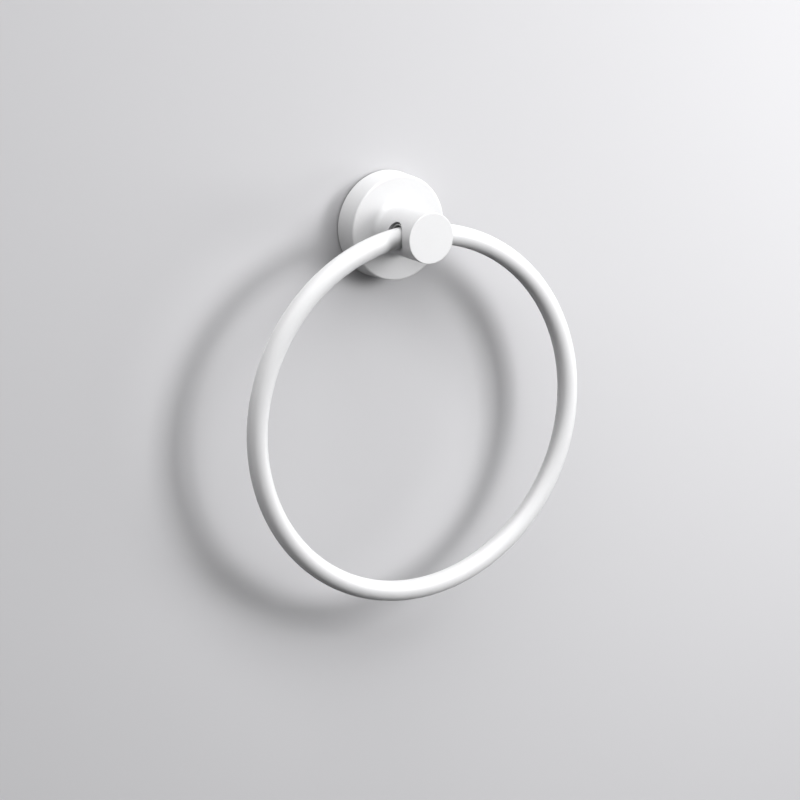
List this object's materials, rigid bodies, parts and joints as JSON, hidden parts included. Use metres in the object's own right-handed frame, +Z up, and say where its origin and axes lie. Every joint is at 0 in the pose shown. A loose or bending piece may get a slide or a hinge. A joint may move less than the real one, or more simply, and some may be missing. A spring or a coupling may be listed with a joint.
{
  "type": "towel ring",
  "caption": "Wall-mounted towel ring in white: a round flange cast with a short post, and a round-bar ring that hangs through the post and swings to and from the wall.",
  "frame": {"origin": "where the post's axis meets the wall", "axes": "+Y into the wall, so the post stands out along -Y; +Z up, so the ring hangs towards -Z; +X along the wall"},
  "size_m": [0.16, 0.0363, 0.1785],
  "materials": {
    "white_coat": "satin powder coat",
    "bush_nylon": "moulded, matte",
    "plated_steel": "zinc plated",
    "screw_steel": "bare stainless"
  },
  "bodies": {
    "wall_fitting": {"holder": "white_coat", "ring_bush": "bush_nylon", "wall_bracket": "plated_steel", "grub_screw": "screw_steel"},
    "hanging_ring": {"ring": "white_coat"}
  },
  "joints": [
    {"name": "ring_swing", "type": "hinge", "parent": "wall_fitting", "child": "hanging_ring", "pos_m": [0, -0.025, -0.00033], "axis": [-1, 0, 0], "range_deg": [-7.8, 187.8]}
  ]
}
